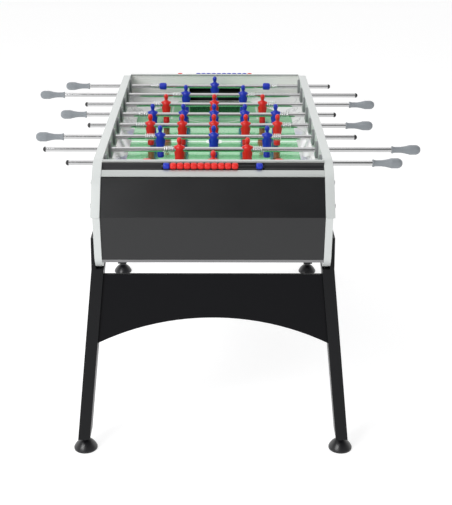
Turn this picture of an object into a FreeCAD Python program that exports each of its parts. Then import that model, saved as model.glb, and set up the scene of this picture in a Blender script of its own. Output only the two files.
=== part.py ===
"""Foosball table: a cabinet on splayed legs, eight sliding and spinning rods of players, and bead score counters.

X runs across the table, Y along its length (the near end is -Y, the far end is +Y), and Z is up from the floor.
The origin is on the floor under the table's middle. Millimetres.
"""

import FreeCAD, Part
import math
import os

from FreeCAD import Vector

os.makedirs("parts", exist_ok=True)

# ---------------------------------------------------------------- driving dimensions
rail_top = 932.0  # top of the side rails above the floor
rod_height = 900.0  # axis of every rod above the floor
field_height = 820.0  # playing surface above the floor
inner_width = 680.0  # between the side walls
inner_length = 1176.0  # between the end walls
rod_pitch = 147.0  # from one rod to the next along Y

# rods
rod_radius = 8.0
rod_bore_radius = 6.0
rod_running_gap = 0.05  # radial, between a rod and its bearing
stop_gap = 1.0  # left between spring and bearing at the end of the slide
plug_clearance = 5.5  # end plug to bearing nut at the end of the slide
plug_length = 10.0
plug_radius = 8.6
plug_rounding = 5.0
plug_plunge = 12.0  # how deep the plug's shank goes into the tube

# springs on the rods
spring_length = 33.0
spring_turns = 5  # whole turns
spring_wire_radius = 1.2
spring_mean_radius = 11.0

# grips
grip_length = 95.0
grip_collar_radius = 12.5
grip_neck_radius = 10.2
grip_bulb_radius = 16.5
grip_end_radius = 8.5
grip_flats = 8
grip_across_flats = 30.5
grip_socket_depth = 70.0

# figures
figure_width = 35.0  # over the shoulders, along the rod
figure_depth = 24.0
figure_head_top = 40.0  # above the rod's axis
figure_head_width = 16.5
figure_head_height = 22.0
figure_neck_radius = 5.2
figure_neck_start = 12.0
figure_sole_height = 9.0  # of the upright sides of the foot
figure_waist = -14.0  # where legs and chest meet, from the rod's axis
figure_waist_width = 30.0
figure_reach = 70.5  # from the rod's axis down to the sole
figure_foot_width = 23.0
figure_foot_depth = 23.0
stopper_radius = 14.0
stopper_length = 29.0
stopper_offset = 207.0  # goalkeeper rod: middle of each stopper from the rod's middle

# bearings in the side walls
flange_radius = 28.0
flange_thickness = 7.5
flange_edge = 1.5
bush_radius = 12.0
nut_radius = 16.0
nut_thickness = 3.0

# side boards: an upper board with the bearings, and a thinner lower one
upper_side_thickness = 28.0
lower_side_thickness = 22.0
ridge_height = 793.0  # where the upper boards end and the cabinet is longest
ridge_reach = 140.0  # beyond the end walls' inner faces
shoulder_setback = 33.0  # inside those faces, where the flat top of the rail starts to curve down
shoulder_radius = 139.0
lower_side_step = 4.0  # the lower board's end sits this far in from the ridge
lower_side_foot_reach = 120.0  # corner of the lower board before it is rounded, beyond those faces
lower_side_bottom = 610.0
lower_side_corner_radius = 65.0

# ends of the cabinet
end_wall_thickness = 12.0
end_wall_bottom = 756.0
end_cap_overhang = 7.0
end_cap_width = 16.0
end_cap_thickness = 3.0
panel_thickness = 16.0
panel_inset = 5.0  # panels sit this far inside the side boards' edges
strip_inset = 3.0
strip_thickness = 4.0
strip_start_angle = 29.5  # on the shoulder's arc, from straight up
strip_end_angle = 40.5
strip_panel_gap = 2.0

# score trays, beads and their wires
tray_radius = 12.5
tray_thickness = 2.5
tray_drop = 10.5  # beads' axis below the rail's top
bead_radius = 10.3
bead_length = 20.4
bead_gap = 0.5
bead_count = 10
bead_edge = 2.5
wire_radius = 2.5
bead_running_gap = 0.08
counter_half_length = 152.0
wire_post_height = 12.0

# goals
goal_width = 208.0
goal_height = 62.0
goal_corner_radius = 10.0
goal_box_depth = 54.0
goal_box_top_depth = 29.0
goal_box_shoulder = 850.0
goal_box_bottom = 760.0
goal_box_wall = 3.0
goal_box_headroom = 2.0

# playing field and the white mouldings along its edges
field_thickness = 8.0
groove_depth = 5.0
ramp_width = 42.0
ramp_height = 28.0
corner_run = 243.0  # from the end wall to where the side ramp widens into the corner ramp
corner_reach = 198.0  # how far the corner ramp comes in along the end wall

# bottom of the cabinet
bottom_thickness = 9.0
bottom_top = 650.0

# legs
leg_width = 38.0
leg_depth = 76.0
leg_top_outset = 17.0  # beyond the side walls' inner faces, along X
leg_top_reach = 62.0  # beyond the end walls' inner faces, along Y
leg_foot_outset = 74.0
leg_foot_reach = 148.0
leg_foot_height = 52.0
cheek_thickness = 14.0
cheek_height = 98.0
arch_thickness = 18.0
arch_top = 591.0
arch_crown = 453.0
arch_spring_line = 370.0  # height of the arch's ends at the legs
arch_setback = 8.0  # behind the legs' faces

# levelling feet
foot_radius = 38.0
foot_disc_height = 6.0
foot_disc_rounding = 2.0
foot_dome_radius = 29.0  # of the dome, halfway up it
foot_dome_top = 35.0
foot_neck_radius = 12.0
foot_stem_radius = 6.0
foot_stem_top = 107.0
foot_running_gap = 0.08
foot_leg_gap = 0.4

# fasteners
bolt_head_radius = 7.0
bolt_head_height = 3.0
bolt_radius = 3.0
leg_bolt_rises = (38.0, 76.0)  # above the bottom of the side board
leg_bolt_length = 30.0
panel_screw_length = 60.0
panel_screw_drops = (52.0, 112.0)  # below the rail's top

# ---------------------------------------------------------------- worked out from them
half_width = inner_width / 2.0
half_length = inner_length / 2.0
upper_outer = half_width + upper_side_thickness
lower_outer = half_width + lower_side_thickness
flange_face = half_width - flange_thickness
nut_face = upper_outer + nut_thickness
field_bottom = field_height - field_thickness
bottom_bottom = bottom_top - bottom_thickness
ridge_half_length = half_length + ridge_reach
shoulder_half_length = half_length - shoulder_setback
lower_side_foot_half_length = half_length + lower_side_foot_reach
shoulder_centre = Vector(0, shoulder_half_length, rail_top - shoulder_radius)
corner_start = half_length - corner_run
leg_top_x = half_width + leg_top_outset
leg_top_y = half_length + leg_top_reach
leg_foot_x = half_width + leg_foot_outset
leg_foot_y = half_length + leg_foot_reach
end_wall_outer = half_length + end_wall_thickness
tray_centre_y = end_wall_outer + tray_radius + tray_thickness
tray_centre_z = rail_top - tray_drop
leg_lean = math.atan2(leg_foot_y - leg_top_y, lower_side_bottom - leg_foot_height)

# role: number of figures, spacing between them, and grip to bearing nut at the end of the slide
roles = {
    "goalie": (1, 0.0, 52.0),
    "two": (2, 222.0, 40.0),
    "three": (3, 181.0, 36.0),
    "five": (5, 111.5, 34.0),
}

# from the far end to the near end: team, role and the side that the grip is on
rods = [
    ("blue", "goalie", -1),
    ("blue", "two", -1),
    ("red", "three", 1),
    ("blue", "five", -1),
    ("red", "five", 1),
    ("blue", "three", -1),
    ("red", "two", 1),
    ("red", "goalie", 1),
]


# ---------------------------------------------------------------- helpers
def box(x0, x1, y0, y1, z0, z1):
    return Part.makeBox(x1 - x0, y1 - y0, z1 - z0, Vector(x0, y0, z0))


def cylinder(radius, start, end):
    along = end - start
    return Part.makeCylinder(radius, along.Length, start, along)


def ring(outer, inner, start, end):
    return cylinder(outer, start, end).cut(cylinder(inner, start, end))


def extruded_along_x(outline, x0, x1):
    """A solid from a closed list of (y, z) corners, from x0 to x1."""
    corners = [Vector(x0, y, z) for y, z in outline]
    face = Part.Face(Part.makePolygon(corners + corners[:1]))
    return face.extrude(Vector(x1 - x0, 0, 0))


def solid_from_faces(faces):
    return Part.makeSolid(Part.makeShell(faces))


def across(shape):
    """The same shape on the other side, in X."""
    return shape.mirror(Vector(0, 0, 0), Vector(1, 0, 0))


def to_far_end(shape):
    """The near end's shape at the far end."""
    return shape.mirror(Vector(0, 0, 0), Vector(0, 1, 0))


def save(name, *shapes):
    shape = shapes[0] if len(shapes) == 1 else Part.makeCompound(list(shapes))
    shape.exportStep(f"parts/{name}.step")


# ---------------------------------------------------------------- the end's outline, drawn at the far end
ridge = Vector(0, ridge_half_length, ridge_height)


def slope_top():
    """Where the shoulder's arc meets the straight slope that runs down to the ridge."""
    to_ridge = ridge - shoulder_centre
    reach = math.hypot(to_ridge.y, to_ridge.z)
    angle = math.atan2(to_ridge.z, to_ridge.y) + math.acos(shoulder_radius / reach)
    return shoulder_centre + Vector(0, shoulder_radius * math.cos(angle), shoulder_radius * math.sin(angle))


slope_start = slope_top()
slope = (ridge - slope_start).normalize()
slope_inward = Vector(0, slope.z, -slope.y)


def on_slope(height, inset):
    """The point of the slope, moved in by inset, that is at this height."""
    start = slope_start + slope_inward * inset
    return start + slope * ((height - start.z) / slope.z)


def on_shoulder(angle_deg, inset):
    """The point of the shoulder's arc at an angle from straight up."""
    angle = math.radians(angle_deg)
    return shoulder_centre + Vector(0, math.sin(angle), math.cos(angle)) * (shoulder_radius - inset)


def lower_edge(height, inset):
    """The point of the lower board's end, moved in by inset, at this height."""
    top_y = ridge_half_length - lower_side_step
    drop = (ridge_height - height) / (ridge_height - lower_side_bottom)
    return Vector(0, top_y + (lower_side_foot_half_length - top_y) * drop - inset, height)


# ---------------------------------------------------------------- side boards
def rod_y(index):
    return ((len(rods) - 1) / 2.0 - index) * rod_pitch


def upper_side():
    """The right-hand rail board, with its bearing holes and the groove for the playing field."""
    arc_middle = on_shoulder(math.degrees(math.acos((slope_start.z - shoulder_centre.z) / shoulder_radius)) / 2, 0)
    half = [Vector(0, shoulder_half_length, rail_top), arc_middle, slope_start, ridge]
    near = [Vector(0, -p.y, p.z) for p in half]
    wire = Part.Wire([
        Part.makeLine(near[0], half[0]),
        Part.Arc(half[0], half[1], half[2]).toShape(),
        Part.makeLine(half[2], half[3]),
        Part.makeLine(half[3], near[3]),
        Part.makeLine(near[3], near[2]),
        Part.Arc(near[2], near[1], near[0]).toShape(),
    ])
    board = Part.Face(wire).extrude(Vector(upper_side_thickness, 0, 0))
    board.translate(Vector(half_width, 0, 0))
    for index in range(len(rods)):
        y = rod_y(index)
        board = board.cut(cylinder(bush_radius, Vector(half_width, y, rod_height), Vector(upper_outer, y, rod_height)))
    groove = box(half_width, half_width + groove_depth, -half_length, half_length, field_bottom, field_height)
    return board.cut(groove)


def lower_side():
    """The right-hand lower board, rounded at its bottom corners."""
    top = lower_edge(ridge_height, 0)
    foot = lower_edge(lower_side_bottom, 0)
    outline = [(-top.y, top.z), (top.y, top.z), (foot.y, foot.z), (-foot.y, foot.z)]
    board = extruded_along_x(outline, half_width, lower_outer)
    corners = [e for e in board.Edges
               if abs(e.BoundBox.ZMax - lower_side_bottom) < 0.01 and e.BoundBox.XLength > lower_side_thickness / 2]
    return board.makeFillet(lower_side_corner_radius, corners)


# ---------------------------------------------------------------- the near end, drawn at the far end and mirrored
def end_wall():
    wall = box(-half_width, half_width, half_length, end_wall_outer, end_wall_bottom, rail_top - end_cap_thickness)
    mouth = box(-goal_width / 2, goal_width / 2, half_length, end_wall_outer, field_height, field_height + goal_height)
    top_corners = [e for e in mouth.Edges
                   if e.BoundBox.ZMin > field_height + goal_height - 0.01 and e.BoundBox.YLength > end_wall_thickness / 2]
    return wall.cut(mouth.makeFillet(goal_corner_radius, top_corners))


def end_cap():
    inner = half_length - end_cap_overhang
    return box(-half_width, half_width, inner, inner + end_cap_width, rail_top - end_cap_thickness, rail_top)


def score_tray():
    """A trough for the score beads, between the end wall and the silver strip."""
    left, right = Vector(-half_width, tray_centre_y, tray_centre_z), Vector(half_width, tray_centre_y, tray_centre_z)
    outer_radius = tray_radius + tray_thickness
    trough = ring(outer_radius, tray_radius, left, right)
    trough = trough.cut(box(-half_width, half_width, end_wall_outer, tray_centre_y + outer_radius,
                            tray_centre_z, tray_centre_z + outer_radius))
    front_edge = on_shoulder(strip_start_angle, strip_inset + strip_thickness).z
    trough = trough.cut(box(-half_width, half_width, tray_centre_y, tray_centre_y + outer_radius,
                            front_edge, tray_centre_z)).cut(trim_strip())
    back = box(-half_width, half_width, end_wall_outer, end_wall_outer + tray_thickness,
               tray_centre_z, rail_top - end_cap_thickness)
    return trough.fuse(back).removeSplitter()


def trim_strip():
    """The silver strip, bent along the shoulder's arc."""
    outer = shoulder_radius - strip_inset
    inner = outer - strip_thickness
    left = Vector(-half_width, shoulder_centre.y, shoulder_centre.z)
    right = Vector(half_width, shoulder_centre.y, shoulder_centre.z)
    strip = ring(outer, inner, left, right)
    reach = shoulder_radius * 2
    edges = []
    for angle_deg in (strip_start_angle, strip_end_angle):
        angle = math.radians(angle_deg)
        edges.append((shoulder_centre.y + reach * math.sin(angle), shoulder_centre.z + reach * math.cos(angle)))
    wedge = [(shoulder_centre.y, shoulder_centre.z)] + edges
    return strip.common(extruded_along_x(wedge, -half_width, half_width))


def upper_end_panel():
    strip_end = on_shoulder(strip_end_angle, strip_inset)
    top = on_slope(strip_end.z - strip_panel_gap, panel_inset)
    foot = on_slope(ridge_height, panel_inset)
    inner_top = top + slope_inward * panel_thickness
    inner_foot = on_slope(ridge_height, panel_inset + panel_thickness)
    outline = [(p.y, p.z) for p in (top, foot, inner_foot, inner_top)]
    return extruded_along_x(outline, -half_width, half_width)


def lower_end_panel():
    outer_top = lower_edge(ridge_height, panel_inset)
    outer_foot = lower_edge(bottom_top, panel_inset)
    outline = [(outer_top.y, outer_top.z), (outer_foot.y, outer_foot.z),
               (outer_foot.y - panel_thickness, outer_foot.z), (outer_top.y - panel_thickness, outer_top.z)]
    return extruded_along_x(outline, -half_width, half_width)


def goal_box():
    """The pocket behind the goal, open towards the field and with a sloped back under the end panel."""
    top = field_height + goal_height + goal_box_headroom

    def outline(wall):
        return [
            (end_wall_outer, top - wall),
            (end_wall_outer + goal_box_top_depth - wall, top - wall),
            (end_wall_outer + goal_box_depth - wall, goal_box_shoulder - wall / 2),
            (end_wall_outer + goal_box_depth - wall, goal_box_bottom + wall),
            (end_wall_outer, goal_box_bottom + wall),
        ]

    outer_half = goal_width / 2 + goal_box_wall
    shell = extruded_along_x(outline(0), -outer_half, outer_half)
    return shell.cut(extruded_along_x(outline(goal_box_wall), -goal_width / 2, goal_width / 2))


# ---------------------------------------------------------------- field, ramps and bottom
def playfield():
    reach = half_width + groove_depth
    return box(-reach, reach, -half_length, half_length, field_bottom, field_height)


def surround():
    """The right-hand moulding: a ramp along the side wall that widens into both corners."""

    def section(y, width):
        points = [Vector(half_width - width, y, field_height), Vector(half_width, y, field_height),
                  Vector(half_width, y, field_height + ramp_height)]
        return Part.makePolygon(points + points[:1])

    middle = Part.makeLoft([section(-corner_start, ramp_width), section(corner_start, ramp_width)], True, True)
    corner = Part.makeLoft([section(corner_start, ramp_width), section(half_length, corner_reach)], True, True)
    return middle.fuse([corner, to_far_end(corner)])


def bottom_board():
    reach = lower_edge(bottom_top, panel_inset).y
    return box(-half_width, half_width, -reach, reach, bottom_bottom, bottom_top)


# ---------------------------------------------------------------- score counters
def bead(x):
    """One bead on the wire, centred on x."""
    start = Vector(x - bead_length / 2, tray_centre_y, tray_centre_z)
    end = Vector(x + bead_length / 2, tray_centre_y, tray_centre_z)
    body = cylinder(bead_radius, start, end)
    rims = [e for e in body.Edges if e.Length > bead_radius * 6 and e.BoundBox.XLength < 0.01]
    body = body.makeFillet(bead_edge, rims)
    return body.cut(cylinder(wire_radius + bead_running_gap, start, end))


def counter_wire():
    """The wire, its two posts down to the tray, and the fixed bead at each end."""
    shift = Vector(counter_half_length + bead_gap + wire_radius, 0, 0)
    middle = Vector(0, tray_centre_y, tray_centre_z)
    wire = cylinder(wire_radius, middle - shift, middle + shift)
    for end in (middle - shift, middle + shift):
        post = cylinder(wire_radius, end, end - Vector(0, 0, wire_post_height))
        wire = wire.fuse([post, Part.makeSphere(wire_radius, end)])
    fixed = counter_half_length - bead_length / 2
    return [wire, bead(-fixed), bead(fixed)]


def score_beads():
    """Ten beads pushed up against the fixed bead on the left."""
    first = -counter_half_length + bead_length * 1.5 + bead_gap
    return [bead(first + number * (bead_length + bead_gap)) for number in range(bead_count)]


# ---------------------------------------------------------------- bearings and rods
def bearing(y):
    """The right-hand bearing of a rod: a flanged bush inside the wall and a nut outside it."""
    inside = Vector(flange_face, y, rod_height)
    wall = Vector(half_width, y, rod_height)
    outer = Vector(upper_outer, y, rod_height)
    end = Vector(nut_face, y, rod_height)
    flange = cylinder(flange_radius, inside, wall)
    rim = [e for e in flange.Edges if e.Length > flange_radius * 6 and e.BoundBox.XMax < flange_face + 0.01]
    flange = flange.makeFillet(flange_edge, rim)
    bush = flange.fuse(cylinder(bush_radius, wall, end))
    bush = bush.cut(cylinder(rod_radius + rod_running_gap, inside, end))
    return [bush.removeSplitter(), ring(nut_radius, bush_radius, outer, end)]


def rounded_section(width, depth, corner, z):
    """A rounded rectangle across the figure at height z."""
    a, b, r = width / 2, depth / 2, corner
    cut = r * (1 - math.sqrt(0.5))
    starts = [(a, -b + r), (a - r, b), (-a, b - r), (-a + r, -b)]
    ends = [(a, b - r), (-a + r, b), (-a, -b + r), (a - r, -b)]
    middles = [(a - cut, b - cut), (-a + cut, b - cut), (-a + cut, -b + cut), (a - cut, -b + cut)]
    edges = []
    for k in range(4):
        start, end = Vector(*starts[k], z), Vector(*ends[k], z)
        following = Vector(*starts[(k + 1) % 4], z)
        edges.append(Part.makeLine(start, end))
        edges.append(Part.Arc(end, Vector(*middles[k], z), following).toShape())
    return Part.Wire(edges)


def figure():
    """One player, on a rod through the origin along X."""
    width, depth, waist_width = figure_width, figure_depth, figure_waist_width
    foot_width, foot_depth, sole = figure_foot_width, figure_foot_depth, -figure_reach
    knee, thigh, rod_line = sole + 22.0, sole + 42.0, 5.0
    legs = Part.makeLoft([
        rounded_section(foot_width, foot_depth, 4.0, sole),
        rounded_section(foot_width, foot_depth, 4.0, sole + figure_sole_height),
        rounded_section(foot_width, foot_depth * 0.66, 5.0, knee),
        rounded_section(width * 0.80, depth * 0.74, 6.0, thigh),
        rounded_section(waist_width, depth, 8.0, figure_waist),
    ], True, True)
    chest = Part.makeLoft([
        rounded_section(waist_width, depth, 8.0, figure_waist),
        rounded_section(width, depth, 9.0, rod_line),
        rounded_section(width * 0.90, depth * 0.80, 8.5, rod_line + 6.0),
        rounded_section(width * 0.52, depth * 0.56, 6.0, figure_neck_start + 3.5),
    ], True, True)
    head_middle = figure_head_top - figure_head_height / 2
    neck = cylinder(figure_neck_radius, Vector(0, 0, figure_neck_start), Vector(0, 0, head_middle - figure_neck_radius))
    head = Part.makeSphere(1.0)
    stretch = FreeCAD.Matrix()
    stretch.scale(figure_head_width / 2, figure_head_width / 2, figure_head_height / 2)
    head = head.transformGeometry(stretch)
    head.translate(Vector(0, 0, head_middle))
    body = legs.fuse([chest, neck, head])
    return body.cut(cylinder(rod_radius, Vector(-width, 0, 0), Vector(width, 0, 0)))


def stopper():
    """The round bumper that a goalkeeper's rod has on both sides of its one player."""
    start, end = Vector(-stopper_length / 2, 0, 0), Vector(stopper_length / 2, 0, 0)
    body = cylinder(stopper_radius, start, end)
    rims = [e for e in body.Edges if e.Length > stopper_radius * 6 and e.BoundBox.XLength < 0.01]
    return body.makeFillet(stopper_radius / 4, rims).cut(cylinder(rod_radius, start, end))


def spring():
    """A coil on the rod, from x = 0 outwards: half turns, each a tilted half ring that runs into the next."""
    half_pitch = (spring_length - 2 * spring_wire_radius) / spring_turns / 2
    half_turns = []
    for number in range(spring_turns * 2):
        side = 1 if number % 2 == 0 else -1
        start = Vector(spring_wire_radius + number * half_pitch, 0, side * spring_mean_radius)
        end = Vector(start.x + half_pitch, 0, -start.z)
        axis = (end - start).cross(Vector(0, side, 0))
        wire_end = Part.Face(Part.Wire(Part.makeCircle(spring_wire_radius, start, Vector(0, 1, 0))))
        half_turns.append(wire_end.revolve((start + end) / 2, axis, 180))
    return half_turns[0].fuse(half_turns[1:]).removeSplitter()


def grip():
    """The handle, from its collar at x = 0 to its end, with the socket that the rod goes into."""
    length = grip_length
    outline_points = [
        (0.04, grip_collar_radius),
        (0.12, grip_neck_radius),
        (0.32, grip_neck_radius + 0.3),
        (0.60, grip_bulb_radius - 0.8),
        (0.82, grip_bulb_radius),
        (0.94, grip_bulb_radius - 3.0),
        (1.00, grip_end_radius),
    ]
    points = [Vector(share * length, 0, radius) for share, radius in outline_points]
    curve = Part.BSplineCurve()
    curve.interpolate(points)
    start, end = Vector(0, 0, 0), Vector(length, 0, 0)
    collar = Vector(0, 0, grip_collar_radius)
    outline = Part.Wire([
        Part.makeLine(start, collar),
        Part.makeLine(collar, points[0]),
        curve.toShape(),
        Part.makeLine(points[-1], end),
        Part.makeLine(end, start),
    ])
    body = Part.Face(outline).revolve(start, Vector(1, 0, 0), 360)
    corner_radius = grip_across_flats / 2 / math.cos(math.pi / grip_flats)
    corners = []
    for k in range(grip_flats + 1):
        angle = math.pi / grip_flats * (2 * k + 1)
        corners.append(Vector(0, corner_radius * math.cos(angle), corner_radius * math.sin(angle)))
    prism = Part.Face(Part.makePolygon(corners)).extrude(Vector(length, 0, 0))
    socket = cylinder(rod_radius, start, Vector(grip_socket_depth, 0, 0))
    return body.common(prism).cut(socket)


def end_plug():
    """The cap in the rod's other end, pointing along +X from the tube's end."""
    head = cylinder(plug_radius, Vector(0, 0, 0), Vector(plug_length, 0, 0))
    rim = [e for e in head.Edges if e.Length > plug_radius * 6 and e.BoundBox.XMin > plug_length - 0.01]
    head = head.makeFillet(plug_rounding, rim)
    return head.fuse(cylinder(rod_bore_radius, Vector(-plug_plunge, 0, 0), Vector(0, 0, 0)))


def outermost(role):
    """How far from the rod's middle its outermost figure or stopper ends."""
    count, spacing, _ = roles[role]
    if count == 1:
        return stopper_offset + stopper_length / 2
    return (count - 1) / 2 * spacing + figure_width / 2


def travel(role):
    """How far the rod slides each way before its spring meets the bearing."""
    return flange_face - outermost(role) - spring_length - stop_gap


def build_rod(index, team, role, grip_side):
    """The rod's four nodes, drawn with the grip on the right and mirrored when it is on the left."""
    count, spacing, grip_clearance = roles[role]
    place = Vector(0, rod_y(index), rod_height)
    grip_start = nut_face + grip_clearance + travel(role)
    plug_start = nut_face + plug_clearance + travel(role)
    tube = ring(rod_radius, rod_bore_radius, Vector(-plug_start, 0, 0), Vector(grip_start + grip_socket_depth, 0, 0))
    handle = grip()
    handle.translate(Vector(grip_start, 0, 0))
    plug = end_plug()
    plug.translate(Vector(plug_start, 0, 0))
    plug = across(plug)
    men = []
    for number in range(count):
        man = figure()
        man.translate(Vector((number - (count - 1) / 2) * spacing, 0, 0))
        men.append(man)
    if count == 1:
        for side in (-1, 1):
            block = stopper()
            block.translate(Vector(side * stopper_offset, 0, 0))
            men.append(block)
    coil = spring()
    coil.translate(Vector(outermost(role), 0, 0))
    coils = [coil, across(coil)]
    nodes = {"rod": [tube], "grip": [handle, plug], "players": men, "springs": coils}
    for kind, shapes in nodes.items():
        if grip_side < 0 and kind != "springs":
            shapes = [across(shape) for shape in shapes]
        for shape in shapes:
            shape.translate(place)
        save(f"{team}_{role}_{kind}", *shapes)


# ---------------------------------------------------------------- legs and feet
def slanted_post(bottom, top, width, depth):
    """A leaning post with level ends: the same rectangle at both ends."""
    corners = [(-1, -1), (1, -1), (1, 1), (-1, 1)]
    low = [bottom + Vector(i * width / 2, j * depth / 2, 0) for i, j in corners]
    high = [top + Vector(i * width / 2, j * depth / 2, 0) for i, j in corners]
    faces = [Part.Face(Part.makePolygon(low + low[:1])), Part.Face(Part.makePolygon(high + high[:1]))]
    for k in range(4):
        n = (k + 1) % 4
        faces.append(Part.Face(Part.makePolygon([low[k], low[n], high[n], high[k], low[k]])))
    return solid_from_faces(faces)


def leg():
    """The near right leg: a splayed post whose outer cheek laps the side board."""
    foot = Vector(leg_foot_x, -leg_foot_y, leg_foot_height)
    top = Vector(leg_top_x, -leg_top_y, lower_side_bottom)
    post = slanted_post(foot, top, leg_width, leg_depth)
    cheek_x = lower_outer + cheek_thickness / 2
    lean = math.tan(leg_lean) * cheek_height
    cheek_foot = Vector(cheek_x, -leg_top_y, lower_side_bottom)
    cheek_top = Vector(cheek_x, -leg_top_y + lean, lower_side_bottom + cheek_height)
    cheek = slanted_post(cheek_foot, cheek_top, cheek_thickness, leg_depth)
    body = post.fuse(cheek)
    socket = cylinder(foot_stem_radius + foot_running_gap, Vector(leg_foot_x, -leg_foot_y, 0),
                      Vector(leg_foot_x, -leg_foot_y, foot_stem_top + foot_leg_gap))
    return body.cut(socket)


def arch_panel():
    """The board between the near legs, with its underside cut to an arch."""
    down = 1 / math.cos(leg_lean)
    splay = (leg_foot_x - leg_top_x) / (lower_side_bottom - leg_foot_height)

    def inner_face(z):
        return leg_top_x - leg_width / 2 + (lower_side_bottom - z) * splay

    def corner(x, z):
        return Vector(x, 0, (z - arch_top) * down)

    top_x, foot_x = inner_face(arch_top), inner_face(arch_spring_line)
    outline = Part.Wire([
        Part.makeLine(corner(-top_x, arch_top), corner(top_x, arch_top)),
        Part.makeLine(corner(top_x, arch_top), corner(foot_x, arch_spring_line)),
        Part.Arc(corner(foot_x, arch_spring_line), corner(0, arch_crown), corner(-foot_x, arch_spring_line)).toShape(),
        Part.makeLine(corner(-foot_x, arch_spring_line), corner(-top_x, arch_top)),
    ])
    board = Part.Face(outline).extrude(Vector(0, arch_thickness, 0))
    board.rotate(Vector(0, 0, 0), Vector(1, 0, 0), -math.degrees(leg_lean))
    face_y = -leg_top_y - leg_depth / 2 - (lower_side_bottom - arch_top) * math.tan(leg_lean) + arch_setback
    board.translate(Vector(0, face_y, arch_top))
    return board


def levelling_foot():
    """The near right foot: a round pad with a domed top, a neck, and a stem up into the leg."""
    neck_top = leg_foot_height - foot_leg_gap
    pad_edge = Vector(foot_radius, 0, foot_disc_height)
    dome_middle = Vector(foot_dome_radius, 0, (foot_disc_height + foot_dome_top) / 2)
    dome_top = Vector(foot_neck_radius, 0, foot_dome_top)
    upper = [dome_top, Vector(foot_neck_radius, 0, neck_top), Vector(foot_stem_radius, 0, neck_top),
             Vector(foot_stem_radius, 0, foot_stem_top), Vector(0, 0, foot_stem_top), Vector(0, 0, 0),
             Vector(foot_radius, 0, 0), pad_edge]
    outline = Part.Wire([Part.Arc(pad_edge, dome_middle, dome_top).toShape()] + Part.makePolygon(upper).Edges)
    foot = Part.Face(outline).revolve(Vector(0, 0, 0), Vector(0, 0, 1), 360)
    rims = [e for e in foot.Edges if e.Length > foot_radius * 6 and e.BoundBox.ZLength < 0.01]
    foot = foot.makeFillet(foot_disc_rounding, rims)
    foot.translate(Vector(leg_foot_x, -leg_foot_y, 0))
    return foot


# ---------------------------------------------------------------- fasteners
def bolt(outer_x, y, z, length):
    """A round-headed bolt into the right-hand side, its head standing on outer_x."""
    seat = Vector(outer_x, y, z)
    head = cylinder(bolt_head_radius, seat, seat + Vector(bolt_head_height, 0, 0))
    rim = [e for e in head.Edges if e.Length > bolt_head_radius * 6 and e.BoundBox.XMin > outer_x + 0.01]
    head = head.makeFillet(bolt_head_height / 2, rim)
    return head.fuse(cylinder(bolt_radius, seat - Vector(length, 0, 0), seat))


def near_right_bolts():
    cheek_outer = lower_outer + cheek_thickness
    bolts = []
    for rise in leg_bolt_rises:
        y = -leg_top_y + math.tan(leg_lean) * rise
        bolts.append(bolt(cheek_outer, y, lower_side_bottom + rise, leg_bolt_length))
    for drop in panel_screw_drops:
        place = on_slope(rail_top - drop, panel_inset + panel_thickness / 2)
        bolts.append(bolt(upper_outer, -place.y, place.z, panel_screw_length))
    return bolts


def all_corners(shapes):
    """The near right corner's shapes at all four corners."""
    right = shapes + [to_far_end(shape) for shape in shapes]
    return right + [across(shape) for shape in right]


def drilled(shape, bolts):
    """The shape with a hole for each bolt that passes through it."""
    for item in bolts:
        if shape.BoundBox.intersect(item.BoundBox):
            shape = shape.cut(item)
    return shape


# ---------------------------------------------------------------- build every node
bolts = all_corners(near_right_bolts())

upper = drilled(upper_side(), bolts)
lower = drilled(lower_side(), bolts)
save("upper_side_right", upper)
save("upper_side_left", across(upper))
save("lower_side_right", lower)
save("lower_side_left", across(lower))

wall, tray = end_wall(), score_tray()
save("end_wall_far", wall)
save("end_wall_near", to_far_end(wall))
save("score_tray_far", tray)
save("score_tray_near", to_far_end(tray))

trims = [end_cap(), trim_strip()]
save("end_trims", *trims, *[to_far_end(shape) for shape in trims])
for name, panel in (("upper_end_panels", upper_end_panel()), ("lower_end_panels", lower_end_panel())):
    panel = drilled(panel, bolts)
    save(name, panel, to_far_end(panel))
pocket = goal_box()
save("goal_boxes", pocket, to_far_end(pocket))

save("playfield", playfield())
save("surround_right", surround())
save("surround_left", across(surround()))
save("bottom_board", bottom_board())

counter, beads = counter_wire(), score_beads()
save("score_wires", *[to_far_end(shape) for shape in counter], *counter)
save("score_beads_near", *[to_far_end(shape) for shape in beads])
save("score_beads_far", *[across(shape) for shape in beads])

bearings = []
for index, (team, role, grip_side) in enumerate(rods):
    pair = bearing(rod_y(index))
    bearings += pair + [across(shape) for shape in pair]
    build_rod(index, team, role, grip_side)
save("bearings", *bearings)

leg_right = drilled(leg(), bolts)
legs = [leg_right, across(leg_right)]
save("near_legs", *legs)
save("far_legs", *[to_far_end(shape) for shape in legs])
arch = arch_panel()
save("arch_panels", arch, to_far_end(arch))
foot = levelling_foot()
save("foot_near_right", foot)
save("foot_near_left", across(foot))
save("foot_far_right", to_far_end(foot))
save("foot_far_left", across(to_far_end(foot)))

save("bolts", *bolts)
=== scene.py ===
"""Looks of the foosball table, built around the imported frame. Metres; X across, Y along (far end is +Y), Z up."""

import math

import bmesh
import bpy
from mathutils import Matrix, Vector


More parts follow.
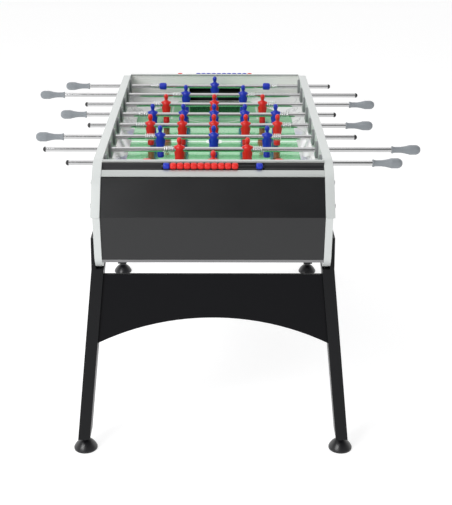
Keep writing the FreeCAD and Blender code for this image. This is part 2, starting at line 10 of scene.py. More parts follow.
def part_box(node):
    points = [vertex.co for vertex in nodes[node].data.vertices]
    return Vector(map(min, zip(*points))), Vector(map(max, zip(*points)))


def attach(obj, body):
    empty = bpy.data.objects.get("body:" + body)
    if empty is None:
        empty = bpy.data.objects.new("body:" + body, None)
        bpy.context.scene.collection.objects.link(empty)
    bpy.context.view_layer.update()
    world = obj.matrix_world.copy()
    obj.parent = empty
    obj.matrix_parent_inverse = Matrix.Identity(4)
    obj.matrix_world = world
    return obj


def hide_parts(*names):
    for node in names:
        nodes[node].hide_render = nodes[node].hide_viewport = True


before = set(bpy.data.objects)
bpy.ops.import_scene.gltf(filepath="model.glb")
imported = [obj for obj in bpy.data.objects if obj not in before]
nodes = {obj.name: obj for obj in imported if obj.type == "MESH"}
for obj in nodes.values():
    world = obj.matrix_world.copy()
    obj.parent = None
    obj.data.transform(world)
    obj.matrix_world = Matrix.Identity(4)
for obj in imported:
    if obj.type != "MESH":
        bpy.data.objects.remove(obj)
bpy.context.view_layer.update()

# ---------------------------------------------------------------- places on the table
rods = [("blue", "goalie", -1), ("blue", "two", -1), ("red", "three", 1), ("blue", "five", -1),
        ("red", "five", 1), ("blue", "three", -1), ("red", "two", 1), ("red", "goalie", 1)]
figure_places = {"goalie": (0.0,), "two": (-0.111, 0.111), "three": (-0.181, 0.0, 0.181),
                 "five": (-0.223, -0.1115, 0.0, 0.1115, 0.223)}
stopper_places = (-0.207, 0.207)


def rod_line(rod):
    """The middle of a rod's axis."""
    low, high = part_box(f"{rod}_rod")
    return Vector((0.0, (low.y + high.y) / 2, (low.z + high.z) / 2))


# ---------------------------------------------------------------- shader helpers
def link(tree, source, target):
    """Joins an output to an input."""
    tree.links.new(source, target)


def feed(tree, socket, value):
    """Gives a socket its value: another node's socket, a number or a colour."""
    if isinstance(value, bpy.types.NodeSocket):
        link(tree, value, socket)
    elif isinstance(value, tuple):
        socket.default_value = (*value, 1.0)
    else:
        socket.default_value = value


def calc(tree, operation, a, b=0.0, c=0.0):
    """A Math node's output; a, b and c are sockets or numbers."""
    node = tree.nodes.new("ShaderNodeMath")
    node.operation = operation
    for socket, value in zip(node.inputs, (a, b, c)):
        feed(tree, socket, value)
    return node.outputs[0]


def blend_colour(tree, factor, a, b, mode="MIX"):
    """A colour Mix node's output; factor, a and b are sockets, numbers or colours."""
    node = tree.nodes.new("ShaderNodeMix")
    node.data_type, node.blend_type = "RGBA", mode
    for socket, value in ((node.inputs["Factor"], factor), (node.inputs[6], a), (node.inputs[7], b)):
        feed(tree, socket, value)
    return node.outputs[2]


def noise(tree, coordinates, scale, detail=2.0, roughness=0.5):
    """A Noise node's value, between 0 and 1."""
    node = tree.nodes.new("ShaderNodeTexNoise")
    for label, value in (("Vector", coordinates), ("Scale", scale), ("Detail", detail), ("Roughness", roughness)):
        feed(tree, node.inputs[label], value)
    return node.outputs["Fac"]


def swing(tree, value, amount):
    """A value between 0 and 1 made to swing about 0 by an amount."""
    return calc(tree, "MULTIPLY", calc(tree, "SUBTRACT", value, 0.5), amount)


def length_of(tree, a, b):
    """The length of the diagonal of two distances."""
    return calc(tree, "SQRT", calc(tree, "ADD", calc(tree, "POWER", a, 2.0), calc(tree, "POWER", b, 2.0)))


def stretched(tree, coordinates, scale):
    """Coordinates stretched by a different amount along each axis."""
    node = tree.nodes.new("ShaderNodeMapping")
    node.inputs["Scale"].default_value = scale
    link(tree, coordinates, node.inputs["Vector"])
    return node.outputs[0]


def object_coordinates(tree):
    return tree.nodes.new("ShaderNodeTexCoord").outputs["Object"]


def mirrored_place(tree):
    """X and Y without their signs, so that a pattern is the same on both sides and at both ends."""
    place = tree.nodes.new("ShaderNodeSeparateXYZ")
    link(tree, object_coordinates(tree), place.inputs[0])
    return [calc(tree, "ABSOLUTE", place.outputs[label]) for label in ("X", "Y")]


# ---------------------------------------------------------------- shared effects
def new_effect(name, inputs):
    """An empty node group with float inputs (name, default), and a shade, a gloss change and a normal as outputs."""
    group = bpy.data.node_groups.new(name, "ShaderNodeTree")
    for label, value in inputs:
        socket = group.interface.new_socket(label, in_out="INPUT", socket_type="NodeSocketFloat")
        socket.default_value = value
    for label, kind in (("Shade", "NodeSocketFloat"), ("Gloss change", "NodeSocketFloat"),
                        ("Normal", "NodeSocketVector")):
        group.interface.new_socket(label, in_out="OUTPUT", socket_type=kind)
    return group, group.nodes.new("NodeGroupInput"), group.nodes.new("NodeGroupOutput")


def give_out(group, result, shade_swing, gloss_swing, height, depth, full_depth):
    """Links an effect's outputs. The normal's bump is as deep as the depth, from 0 to 1, of its full depth."""
    bump = group.nodes.new("ShaderNodeBump")
    bump.inputs["Distance"].default_value = full_depth
    link(group, height, bump.inputs["Height"])
    link(group, depth, bump.inputs["Strength"])
    link(group, calc(group, "ADD", shade_swing, 1.0), result.inputs["Shade"])
    link(group, gloss_swing, result.inputs["Gloss change"])
    link(group, bump.outputs["Normal"], result.inputs["Normal"])


def build_moulded_skin():
    """Fine texture of moulded plastic: a pebbled skin, slow changes of shade, and rubbed patches."""
    group, given, result = new_effect("moulded skin", [("Pebble scale", 900.0), ("Pebble depth", 0.15),
                                                       ("Shade spread", 0.12), ("Rub", 0.08)])
    place = object_coordinates(group)
    pebbles = noise(group, place, given.outputs["Pebble scale"], 3.0)
    slow = noise(group, place, 26.0, 3.0)
    patches = noise(group, place, 70.0, 4.0, 0.65)
    give_out(group, result, swing(group, slow, given.outputs["Shade spread"]),
             swing(group, patches, given.outputs["Rub"]), pebbles, given.outputs["Pebble depth"], 0.0002)
    return group


def build_laminate_skin():
    """Foil or laminate on board: faint orange peel, fine speckle and wiped-over smears."""
    group, given, result = new_effect("laminate skin", [("Peel depth", 0.12), ("Speckle", 0.08), ("Smear", 0.10)])
    place = object_coordinates(group)
    peel = noise(group, place, 260.0, 3.0)
    speckle = noise(group, place, 1500.0, 1.0)
    cloud = noise(group, place, 5.0, 3.0)
    smear = noise(group, stretched(group, place, (5.0, 2.0, 9.0)), 1.6, 4.0, 0.6)
    mix = calc(group, "ADD", swing(group, speckle, given.outputs["Speckle"]),
               swing(group, cloud, given.outputs["Speckle"]))
    give_out(group, result, mix, swing(group, smear, given.outputs["Smear"]), peel, given.outputs["Peel depth"],
             0.0003)
    return group


def build_drawn_metal():
    """Metal drawn or polished along X: hairlines along it and slight staining."""
    group, given, result = new_effect("drawn metal", [("Hairline depth", 0.10), ("Stain", 0.08)])
    place = object_coordinates(group)
    hairlines = noise(group, stretched(group, place, (6.0, 900.0, 900.0)), 1.0, 3.0)
    stain = noise(group, place, 34.0, 4.0, 0.6)
    give_out(group, result, swing(group, stain, given.outputs["Stain"]),
             swing(group, hairlines, given.outputs["Stain"]), hairlines, given.outputs["Hairline depth"], 0.0001)
    return group


moulded_skin = build_moulded_skin()
laminate_skin = build_laminate_skin()
drawn_metal = build_drawn_metal()
smoothest = 0.03  # the least roughness of any finish


def finish(name, effect, colour, roughness, settings=None, constants=None):
    """A material: the effect's shade, gloss change and normal on a Principled shader.

    The colour is a plain one, or a pattern(tree) that returns a colour socket. The settings are the effect's own
    inputs, and the constants are the shader's."""
    material = bpy.data.materials.new(name)
    material.use_nodes = True
    tree = material.node_tree
    shader = tree.nodes["Principled BSDF"]
    skin = tree.nodes.new("ShaderNodeGroup")
    skin.node_tree = effect
    for label, value in (settings or {}).items():
        skin.inputs[label].default_value = value
    for label, value in (constants or {}).items():
        shader.inputs[label].default_value = value
    base = colour(tree) if callable(colour) else colour
    grey = tree.nodes.new("ShaderNodeCombineColor")
    for channel in grey.inputs:
        link(tree, skin.outputs["Shade"], channel)
    link(tree, blend_colour(tree, 1.0, base, grey.outputs[0], "MULTIPLY"), shader.inputs["Base Color"])
    rough = calc(tree, "ADD", skin.outputs["Gloss change"], roughness)
    link(tree, calc(tree, "MAXIMUM", rough, smoothest), shader.inputs["Roughness"])
    link(tree, skin.outputs["Normal"], shader.inputs["Normal"])
    return material


# ---------------------------------------------------------------- patterns
line_white = (0.82, 0.90, 0.84)
turf_green, turf_light = (0.105, 0.530, 0.190), (0.115, 0.560, 0.205)
moulding_white, mark_grey = (0.86, 0.855, 0.865), (0.42, 0.42, 0.44)
line_half_width = 0.0035
spot_radius = 0.030
box_front, box_half_width = 0.310, 0.166
arc_middle, arc_radius = 0.3945, 0.1395
ring_places = ((0.306, 0.245, 0.020), (0.306, 0.245, 0.011), (0.304, 0.395, 0.022), (0.304, 0.395, 0.012))
ring_half_width, sweep_half_width = 0.0022, 0.0016
sweep_middle, sweep_swing = 0.318, 0.012


def stroke(tree, distance, half_width):
    """1 where a signed distance is within half a line's width, and 0 elsewhere."""
    return calc(tree, "LESS_THAN", calc(tree, "ABSOLUTE", distance), half_width)


def pitch_lines(tree):
    """Green playing surface with its white markings: halfway line, spot, penalty boxes and their arcs."""
    x, y = mirrored_place(tree)
    from_front = calc(tree, "SUBTRACT", y, box_front)
    from_side = calc(tree, "SUBTRACT", x, box_half_width)
    from_arc = calc(tree, "SUBTRACT", length_of(tree, x, calc(tree, "SUBTRACT", y, arc_middle)), arc_radius)
    marks = [
        calc(tree, "LESS_THAN", length_of(tree, x, y), spot_radius),
        calc(tree, "MULTIPLY", stroke(tree, from_front, line_half_width),
             calc(tree, "LESS_THAN", x, box_half_width + line_half_width)),
        calc(tree, "MULTIPLY", stroke(tree, from_side, line_half_width), calc(tree, "GREATER_THAN", y, box_front)),
        calc(tree, "MULTIPLY", stroke(tree, from_arc, line_half_width), calc(tree, "LESS_THAN", y, box_front)),
    ]
    total = stroke(tree, y, line_half_width)
    for mark in marks:
        total = calc(tree, "MAXIMUM", total, mark)
    mown = noise(tree, stretched(tree, object_coordinates(tree), (3.0, 14.0, 3.0)), 1.0)
    green = blend_colour(tree, calc(tree, "MULTIPLY", mown, 0.35), turf_green, turf_light)
    return blend_colour(tree, total, green, line_white)


def moulding_rings(tree):
    """White moulding with faint grey rings in its corners and sweeping strokes along it."""
    x, y = mirrored_place(tree)
    marks = 0.0
    for middle_x, middle_y, radius in ring_places:
        away = length_of(tree, calc(tree, "SUBTRACT", x, middle_x), calc(tree, "SUBTRACT", y, middle_y))
        marks = calc(tree, "MAXIMUM", marks, stroke(tree, calc(tree, "SUBTRACT", away, radius), ring_half_width))
    wave = calc(tree, "SINE", calc(tree, "MULTIPLY_ADD", y, 26.0, calc(tree, "MULTIPLY", x, 40.0)))
    sweep = calc(tree, "SUBTRACT", calc(tree, "MULTIPLY", wave, sweep_swing), calc(tree, "SUBTRACT", x, sweep_middle))
    marks = calc(tree, "MAXIMUM", marks, calc(tree, "MULTIPLY", stroke(tree, sweep, sweep_half_width), 0.6))
    faded = calc(tree, "MULTIPLY", marks, noise(tree, object_coordinates(tree), 45.0))
    return blend_colour(tree, calc(tree, "MULTIPLY", faded, 1.3), moulding_white, mark_grey)


# ---------------------------------------------------------------- materials
black_laminate = {"Speckle": 0.25, "Peel depth": 0.2}
player_skin, player_shine = {"Pebble depth": 0.05}, {"Specular IOR Level": 0.4}
silver_board = finish("silver board", laminate_skin, (0.60, 0.625, 0.615), 0.42, {"Speckle": 0.07},
                      {"Metallic": 0.15, "Specular IOR Level": 0.5})
black_board = finish("black board", laminate_skin, (0.0075, 0.0078, 0.0088), 0.33, black_laminate,
                     {"Specular IOR Level": 0.5})
leg_board = finish("leg board", laminate_skin, (0.0055, 0.0058, 0.0068), 0.36, black_laminate,
                   {"Specular IOR Level": 0.2})
# Painted shade: the arch is the same black laminate, given a darker colour than the other black boards to stand in
# for the shade under the table.
arch_board_painted_shade = finish("arch board with painted shade", laminate_skin, (0.0035, 0.0036, 0.0048), 0.40, {"Speckle": 0.2, "Peel depth": 0.2},
                    {"Specular IOR Level": 0.12})
grey_board = finish("grey board edge", laminate_skin, (0.20, 0.20, 0.205), 0.55)
end_white = finish("end wall board", laminate_skin, (0.80, 0.805, 0.775), 0.45, {"Speckle": 0.05})
silver_trim = finish("silver trim", drawn_metal, (0.47, 0.49, 0.48), 0.36, {"Stain": 0.05}, {"Metallic": 0.55})
black_trim = finish("black trim", moulded_skin, (0.010, 0.010, 0.012), 0.30, {"Pebble depth": 0.08})
goal_black = finish("black goal pocket", moulded_skin, (0.006, 0.006, 0.007), 0.55)
green_field = finish("green field", laminate_skin, pitch_lines, 0.16,
                     {"Peel depth": 0.004, "Speckle": 0.04, "Smear": 0.03},
                     {"Metallic": 0.8, "Coat Weight": 0.6, "Coat Roughness": 0.015, "Coat IOR": 1.5})
white_moulding = finish("white moulding", moulded_skin, moulding_rings, 0.22,
                        {"Pebble depth": 0.03, "Shade spread": 0.03}, {"Coat Weight": 1.0, "Coat Roughness": 0.04})
chrome_tube = finish("polished tube", drawn_metal, (0.56, 0.56, 0.565), 0.14, {"Hairline depth": 0.05},
                     {"Metallic": 1.0})
spring_wire = finish("spring wire", drawn_metal, (0.86, 0.87, 0.87), 0.25, None, {"Metallic": 1.0})
bolt_steel = finish("plated steel", drawn_metal, (0.60, 0.60, 0.60), 0.28, None, {"Metallic": 1.0})
grey_grip = finish("grey grip", moulded_skin, (0.235, 0.255, 0.275), 0.42,
                   {"Pebble depth": 0.25, "Shade spread": 0.10})
black_plug = finish("black plug", moulded_skin, (0.012, 0.012, 0.013), 0.35)
bearing_plastic = finish("bearing nylon", moulded_skin, (0.170, 0.180, 0.184), 0.34, {"Pebble depth": 0.1})
red_plastic = finish("red plastic", moulded_skin, (0.700, 0.018, 0.014), 0.32, player_skin, player_shine)
blue_plastic = finish("blue plastic", moulded_skin, (0.010, 0.030, 0.440), 0.32, player_skin, player_shine)
team_plastic = {"red": red_plastic, "blue": blue_plastic}


def dress(obj, material):
    """Gives a piece or a CAD node one material."""
    if obj.material_slots:
        for material_slot in obj.material_slots:
            material_slot.material = material
    else:
        obj.data.materials.append(material)


def soften(obj, width):
    """Joins a CAD node's loose triangles and rounds its hard edges a little."""
    weld = obj.modifiers.new("join", "WELD")
    weld.merge_threshold = 0.00001
    bevel = obj.modifiers.new("soft edges", "BEVEL")
    bevel.width, bevel.segments = width, 2
    bevel.limit_method, bevel.angle_limit = "ANGLE", math.radians(35)
    bevel.use_clamp_overlap = True
    even = obj.modifiers.new("flat faces", "WEIGHTED_NORMAL")
    even.mode, even.weight = "FACE_AREA", 100


board_rounding, moulding_rounding = 0.0009, 0.0006
flat_nodes = {
    silver_board: ["upper_side_left", "upper_side_right", "lower_side_left", "lower_side_right"],
    end_white: ["end_wall_near", "end_wall_far"],
    black_board: ["upper_end_panels", "lower_end_panels"],
    leg_board: ["near_legs", "far_legs"],
    arch_board_painted_shade: ["arch_panels"],
    grey_board: ["bottom_board"],
    silver_trim: ["end_trims"],
    green_field: ["playfield"],
    goal_black: ["goal_boxes"],
}
for material, names in flat_nodes.items():
    for name in names:
        dress(nodes[name], material)
        soften(nodes[name], board_rounding)
for name in ("surround_left", "surround_right"):
    dress(nodes[name], white_moulding)
    soften(nodes[name], moulding_rounding)
for name in ("score_tray_near", "score_tray_far", "foot_near_left", "foot_near_right", "foot_far_left",
             "foot_far_right"):
    dress(nodes[name], black_trim)
dress(nodes["bearings"], bearing_plastic)
dress(nodes["bolts"], bolt_steel)
for team, role, _ in rods:
    dress(nodes[f"{team}_{role}_rod"], chrome_tube)

# ---------------------------------------------------------------- modelling helpers
def piece(name, shape, material, body, replaced, rounds=0):
    """Turns a bmesh into a finished piece that rides on a CAD body and stands for a CAD node."""
    bmesh.ops.remove_doubles(shape, verts=shape.verts, dist=1e-6)
    bmesh.ops.recalc_face_normals(shape, faces=shape.faces)
    mesh = bpy.data.meshes.new(name)
    shape.to_mesh(mesh)
    shape.free()
    for face in mesh.polygons:
        face.use_smooth = True
    obj = bpy.data.objects.new(name, mesh)
    bpy.context.scene.collection.objects.link(obj)
    mesh.materials.append(material)
    if rounds:
        rounding = obj.modifiers.new("rounding", "SUBSURF")
        rounding.levels = rounding.render_levels = rounds
    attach(obj, body)
    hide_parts(replaced)
    return obj


def add_copy(target, source, offset):
    """Adds a shifted copy of one bmesh to another."""
    carrier = bpy.data.meshes.new("carrier")
    source.to_mesh(carrier)
    carrier.transform(Matrix.Translation(offset))
    target.from_mesh(carrier)
    bpy.data.meshes.remove(carrier)


def stacked(sections):
    """A closed eight-sided upright shape grown from the bottom: each section is a height, a width and a depth."""
    shape = bmesh.new()
    sides = 8
    height, width, depth = sections[0]
    bmesh.ops.create_circle(shape, cap_ends=True, segments=sides, radius=1 / math.cos(math.pi / sides) / 2,
                            matrix=Matrix.Rotation(math.pi / sides, 4, "Z"))
    bmesh.ops.scale(shape, vec=(width, depth, 1.0), verts=shape.verts)
    bmesh.ops.translate(shape, vec=(0.0, 0.0, height), verts=shape.verts)
    top = list(shape.faces)
    for next_height, next_width, next_depth in sections[1:]:
        grown = bmesh.ops.extrude_face_region(shape, geom=top)
        verts = [item for item in grown["geom"] if isinstance(item, bmesh.types.BMVert)]
        bmesh.ops.delete(shape, geom=[face for face in top if face.is_valid], context="FACES_ONLY")
        top = [item for item in grown["geom"] if isinstance(item, bmesh.types.BMFace)]
        bmesh.ops.translate(shape, vec=(0.0, 0.0, next_height - height), verts=verts)
        bmesh.ops.scale(shape, vec=(next_width / width, next_depth / depth, 1.0), verts=verts)
        height, width, depth = next_height, next_width, next_depth
    bmesh.ops.contextual_create(shape, geom=[edge for edge in shape.edges if edge.is_boundary])
    bmesh.ops.recalc_face_normals(shape, faces=shape.faces)
    return shape


def turned(profile, sides, start=0.0):
    """A shape turned about X from (x, radius) points. It is closed if the first and last radius are 0."""
    shape = bmesh.new()
    verts = [shape.verts.new((x, 0.0, radius)) for x, radius in profile]
    edges = [shape.edges.new(pair) for pair in zip(verts, verts[1:])]
    bmesh.ops.rotate(shape, verts=verts, cent=(0, 0, 0), matrix=Matrix.Rotation(start, 3, "X"))
    bmesh.ops.spin(shape, geom=verts + edges, cent=(0, 0, 0), axis=(1, 0, 0), angle=math.tau, steps=sides,
                   use_merge=True)
    bmesh.ops.remove_doubles(shape, verts=shape.verts, dist=1e-6)
    bmesh.ops.recalc_face_normals(shape, faces=shape.faces)
    return shape


# ---------------------------------------------------------------- players
def player_figure():
    """One faceless moulded player about the rod's axis: foot block, kit with arms at its sides, neck and head."""
    body = stacked([
        (-0.0703, 0.0225, 0.0225), (-0.0695, 0.0236, 0.0236), (-0.0620, 0.0236, 0.0232),
        (-0.0560, 0.0230, 0.0175), (-0.0470, 0.0220, 0.0135), (-0.0400, 0.0230, 0.0140),
        (-0.0388, 0.0240, 0.0150), (-0.0384, 0.0305, 0.0205), (-0.0375, 0.0312, 0.0212),
        (-0.0300, 0.0310, 0.0215), (-0.0200, 0.0295, 0.0215), (-0.0110, 0.0300, 0.0240),
        (-0.0020, 0.0320, 0.0260), (0.0060, 0.0335, 0.0245), (0.0110, 0.0310, 0.0200),
        (0.0145, 0.0200, 0.0150), (0.0168, 0.0118, 0.0118), (0.0200, 0.0110, 0.0114),
        (0.0218, 0.0135, 0.0142), (0.0262, 0.0166, 0.0178), (0.0310, 0.0174, 0.0188),
        (0.0362, 0.0154, 0.0166), (0.0395, 0.0098, 0.0106), (0.0404, 0.0030, 0.0032),
    ])
    for side in (-1, 1):
        arm = stacked([
            (-0.0250, 0.0035, 0.0040), (-0.0240, 0.0060, 0.0085), (-0.0170, 0.0074, 0.0110),
            (-0.0080, 0.0084, 0.0122), (0.0010, 0.0096, 0.0140), (0.0070, 0.0096, 0.0140),
            (0.0112, 0.0074, 0.0105), (0.0128, 0.0030, 0.0040),
        ])
        bmesh.ops.rotate(arm, verts=arm.verts, cent=(0, 0, 0.006), matrix=Matrix.Rotation(side * 0.05, 3, "Y"))
        add_copy(body, arm, Vector((side * 0.0138, 0.0, 0.0)))
        arm.free()
    return body


def rod_stopper():
    """The round bumper on a goalkeeper's rod."""
    half, radius = 0.0148, 0.0143
    return turned([(-half, 0.0), (-half, radius - 0.0060), (-half + 0.0008, radius - 0.0035),
                   (-half + 0.0040, radius - 0.0006), (-half + 0.0080, radius), (half - 0.0080, radius),
                   (half - 0.0040, radius - 0.0006), (half - 0.0008, radius - 0.0035), (half, radius - 0.0060),
                   (half, 0.0)], 16)


figure_shape, stopper_shape = player_figure(), rod_stopper()
for team, role, _ in rods:
    rod = f"{team}_{role}"
    line = rod_line(rod)
    team_men = bmesh.new()
    for x in figure_places[role]:
        add_copy(team_men, figure_shape, line + Vector((x, 0.0, 0.0)))
    if role == "goalie":
        for x in stopper_places:
            add_copy(team_men, stopper_shape, line + Vector((x, 0.0, 0.0)))
    piece(f"{rod}_men", team_men, team_plastic[team], f"{rod}_spinner", f"{rod}_players",
          rounds=2)
figure_shape.free()
stopper_shape.free()


# ---------------------------------------------------------------- springs
def coil(length, mean_radius, wire_radius, turns):
    """A coil about X from x = 0, spun from the wire's round end."""
    shape = bmesh.new()
    steps = turns * 24
    start = Matrix.Translation((wire_radius, 0.0, mean_radius)) @ Matrix.Rotation(math.pi / 2, 4, "X")
    bmesh.ops.create_circle(shape, cap_ends=True, segments=8, radius=wire_radius, matrix=start)
    first = list(shape.faces)
    bmesh.ops.duplicate(shape, geom=first)
    advance = (length - 2 * wire_radius) / steps
    bmesh.ops.spin(shape, geom=first, cent=(0, 0, 0), axis=(1, 0, 0), dvec=(advance, 0.0, 0.0),
                   angle=turns * math.tau, steps=steps)
    bmesh.ops.remove_doubles(shape, verts=shape.verts, dist=1e-6)
    bmesh.ops.recalc_face_normals(shape, faces=shape.faces)
    return shape


spring_length, spring_wire_radius, spring_turns = 0.033, 0.0012, 5
for team, role, _ in rods:
    rod = f"{team}_{role}"
    low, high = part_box(f"{rod}_springs")
    right = coil(spring_length, (high.z - low.z) / 2 - spring_wire_radius, spring_wire_radius, spring_turns)
    bmesh.ops.translate(right, verts=right.verts, vec=(high.x - spring_length, 0.0, 0.0))
    left = right.copy()
    bmesh.ops.rotate(left, verts=left.verts, cent=(0, 0, 0), matrix=Matrix.Rotation(math.pi, 3, "Z"))
    both = bmesh.new()
    for half in (left, right):
        add_copy(both, half, rod_line(rod))
        half.free()
    piece(f"{rod}_coils", both, spring_wire, f"{rod}_slider", f"{rod}_springs")

# ---------------------------------------------------------------- grips and plugs
grip_length, flats = 0.095, 8


def handle():
    """A grip along +X from its collar: flared collar, round neck, and an eight-sided bulb with a rounded end."""
    return turned([
        (0.0002, 0.0), (0.0002, 0.0112), (0.0008, 0.0122), (0.0030, 0.0125), (0.0048, 0.0118), (0.0085, 0.0103),
        (0.0130, 0.0100), (0.0300, 0.0101), (0.0400, 0.0114), (0.0500, 0.0136), (0.0560, 0.0150), (0.0580, 0.0158),
        (0.0610, 0.0162), (0.0790, 0.0163), (0.0815, 0.0161), (0.0870, 0.0143), (0.0920, 0.0105), (0.0945, 0.0060),
        (0.0950, 0.0),
    ], flats, math.pi / flats)


def end_plug():
    """The domed black cap in a tube's end, along +X from the end."""
    return turned([(-0.0002, 0.0), (-0.0002, 0.0082), (0.0003, 0.0086), (0.0035, 0.0086), (0.0048, 0.0083),
                   (0.0072, 0.0066), (0.0092, 0.0036), (0.0100, 0.0)], 20)


for team, role, side in rods:
    rod = f"{team}_{role}"
    line = rod_line(rod)
    low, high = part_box(f"{rod}_grip")
    tube_low, tube_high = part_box(f"{rod}_rod")
    collar_x = high.x - grip_length if side > 0 else low.x + grip_length
    plug_x = tube_low.x if side > 0 else tube_high.x
    for label, shape, start, towards, material, slot in (
            ("handle", handle(), collar_x, side, grey_grip, "grey_grip"),
            ("plug", end_plug(), plug_x, -side, black_plug, "black_trim")):
        if towards < 0:
            bmesh.ops.rotate(shape, verts=shape.verts, cent=(0, 0, 0), matrix=Matrix.Rotation(math.pi, 3, "Z"))
        bmesh.ops.translate(shape, verts=shape.verts, vec=line + Vector((start, 0.0, 0.0)))
        obj = piece(f"{rod}_{label}", shape, material, f"{rod}_spinner", f"{rod}_grip")
        if label == "handle":
            crease = obj.modifiers.new("soft facets", "BEVEL")
            crease.width, crease.segments = 0.0007, 2
            crease.limit_method, crease.angle_limit = "ANGLE", math.radians(18)
            crease.harden_normals = True

# ---------------------------------------------------------------- score counters
bead_count, bead_length, bead_radius, wire_radius = 10, 0.0204, 0.0103, 0.0025
counter_half_length, post_drop = 0.152, 0.0118


def counter_wire(reach):
    """A wire along X through the origin, with both ends bent down as posts."""
    wire = bmesh.new()
    path = [Vector((-reach, 0.0, -post_drop)), Vector((-reach, 0.0, 0.0)), Vector((reach, 0.0, 0.0)),
            Vector((reach, 0.0, -post_drop))]
    for first, second in zip(path, path[1:]):
        along = second - first
        turn = along.to_track_quat("Z", "Y").to_matrix().to_4x4()
        bmesh.ops.create_cone(wire, cap_ends=True, segments=16, radius1=wire_radius, radius2=wire_radius,
                              depth=along.length, matrix=Matrix.Translation((first + second) / 2) @ turn)
    for corner in path[1:3]:
        bmesh.ops.create_uvsphere(wire, u_segments=16, v_segments=8, radius=wire_radius,
                                  matrix=Matrix.Translation(corner))
    return wire


def counter_bead():
    """A rounded barrel about X, open where the wire passes through it."""
    half = bead_length / 2
    return turned([(-half, wire_radius - 0.0002), (-half, bead_radius - 0.0040),
                   (-half + 0.0008, bead_radius - 0.0022), (-half + 0.0040, bead_radius - 0.0003),
                   (-half + 0.0070, bead_radius), (half - 0.0070, bead_radius), (half - 0.0040, bead_radius - 0.0003),
                   (half - 0.0010, bead_radius - 0.0022), (half, bead_radius - 0.0048),
                   (half, wire_radius - 0.0002)], 24)


for end, fixed, sliding in (("near", "blue", "red"), ("far", "red", "blue")):
    low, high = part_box(f"score_beads_{end}")
    axis = Vector((0.0, (low.y + high.y) / 2, (low.z + high.z) / 2))
    wire = counter_wire(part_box("score_wires")[1].x - wire_radius)
    bmesh.ops.translate(wire, verts=wire.verts, vec=axis)
    piece(f"counter_wire_{end}", wire, black_trim, "cabinet", "score_wires")
    bead, pair, row = counter_bead(), bmesh.new(), bmesh.new()
    for way in (-1, 1):
        add_copy(pair, bead, axis + Vector((way * (counter_half_length - bead_length / 2), 0.0, 0.0)))
    for number in range(bead_count):
        share = (high.x - low.x - bead_length) / (bead_count - 1) * number
        add_copy(row, bead, axis + Vector((low.x + bead_length / 2 + share, 0.0, 0.0)))
    bead.free()
    piece(f"fixed_beads_{end}", pair, team_plastic[fixed], "cabinet", "score_wires", rounds=1)
    piece(f"counter_beads_{end}", row, team_plastic[sliding], f"counter_{end}",
          f"score_beads_{end}", rounds=1)

# ---------------------------------------------------------------- floor, light and camera
floor_mesh = bpy.data.meshes.new("studio_floor")
floor_shape = bmesh.new()
bmesh.ops.create_grid(floor_shape, x_segments=1, y_segments=1, size=60.0)
floor_shape.to_mesh(floor_mesh)
floor_shape.free()
floor = bpy.data.objects.new("studio_floor", floor_mesh)
bpy.context.scene.collection.objects.link(floor)
paper = bpy.data.materials.new("pale floor")
paper.use_nodes = True
paper_tree = paper.node_tree
paper_shader = paper_tree.nodes["Principled BSDF"]
paper_shader.inputs["Specular IOR Level"].default_value = 0.1
paper_shader.inputs["Emission Color"].default_value = (1.0, 1.0, 1.0, 1.0)
paper_shader.inputs["Emission Strength"].default_value = 0.70
mottle = noise(paper_tree, object_coordinates(paper_tree), 3.0)
link(paper_tree, blend_colour(paper_tree, mottle, (0.49, 0.49, 0.495), (0.51, 0.51, 0.51)),
     paper_shader.inputs["Base Color"])
link(paper_tree, calc(paper_tree, "MULTIPLY_ADD", mottle, 0.1, 0.75), paper_shader.inputs["Roughness"])
floor_mesh.materials.append(paper)

world = bpy.data.worlds.new("soft studio")
bpy.context.scene.world = world
world.use_nodes = True
sky = world.node_tree
direction = sky.nodes.new("ShaderNodeSeparateXYZ")
link(sky, sky.nodes.new("ShaderNodeTexCoord").outputs["Generated"], direction.inputs[0])


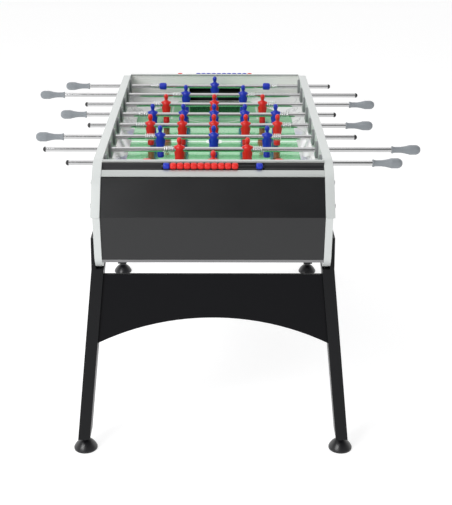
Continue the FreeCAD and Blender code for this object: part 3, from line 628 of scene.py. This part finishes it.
def ramp(value, start, stop, low, high):
    """A value between start and stop, turned smoothly into one between low and high."""
    node = sky.nodes.new("ShaderNodeMapRange")
    node.interpolation_type = "SMOOTHSTEP"
    for label, number in (("From Min", start), ("From Max", stop), ("To Min", low), ("To Max", high)):
        node.inputs[label].default_value = number
    link(sky, value, node.inputs["Value"])
    return node.outputs[0]


back_wall = ramp(direction.outputs["Y"], -0.30, 0.55, 0.42, 1.30)
overhead_fade = ramp(direction.outputs["Z"], 0.40, 0.80, 1.0, 0.22)
from_left = ramp(direction.outputs["X"], 0.2, -0.9, 0.0, 0.40)
link(sky, calc(sky, "MULTIPLY", calc(sky, "ADD", back_wall, from_left), overhead_fade),
     sky.nodes["Background"].inputs["Strength"])
sky.nodes["Background"].inputs["Color"].default_value = (1.0, 1.0, 1.0, 1.0)


def softbox(name, place, target, size, power):
    """A rectangular lamp at a place, turned to a target."""
    lamp = bpy.data.lights.new(name, "AREA")
    lamp.shape, lamp.size, lamp.size_y, lamp.energy = "RECTANGLE", *size, power
    obj = bpy.data.objects.new(name, lamp)
    obj.location = place
    obj.rotation_euler = (Vector(target) - Vector(place)).to_track_quat("-Z", "Y").to_euler()
    bpy.context.scene.collection.objects.link(obj)


softbox("overhead", (-0.4, 0.2, 3.8), (0.0, 0.0, 0.6), (3.6, 3.6), 45.0)
softbox("left_front", (-2.8, -4.0, 3.7), (0.0, 0.0, 0.7), (2.6, 2.6), 175.0)

camera_data = bpy.data.cameras.new("camera")
camera_data.lens = 77.96
camera_data.sensor_width = 36.0
camera = bpy.data.objects.new("camera", camera_data)
camera.location = (0.0211, -3.805, 1.9268)
pitch_down, turn_right, roll = math.radians(22.01), math.radians(0.35), math.radians(0.2)
look = (Matrix.Rotation(-turn_right, 4, "Z") @ Matrix.Rotation(math.pi / 2 - pitch_down, 4, "X")
        @ Matrix.Rotation(roll, 4, "Z"))
camera.rotation_euler = look.to_euler()
bpy.context.scene.collection.objects.link(camera)
bpy.context.scene.camera = camera
bpy.context.scene.view_settings.view_transform = "Standard"
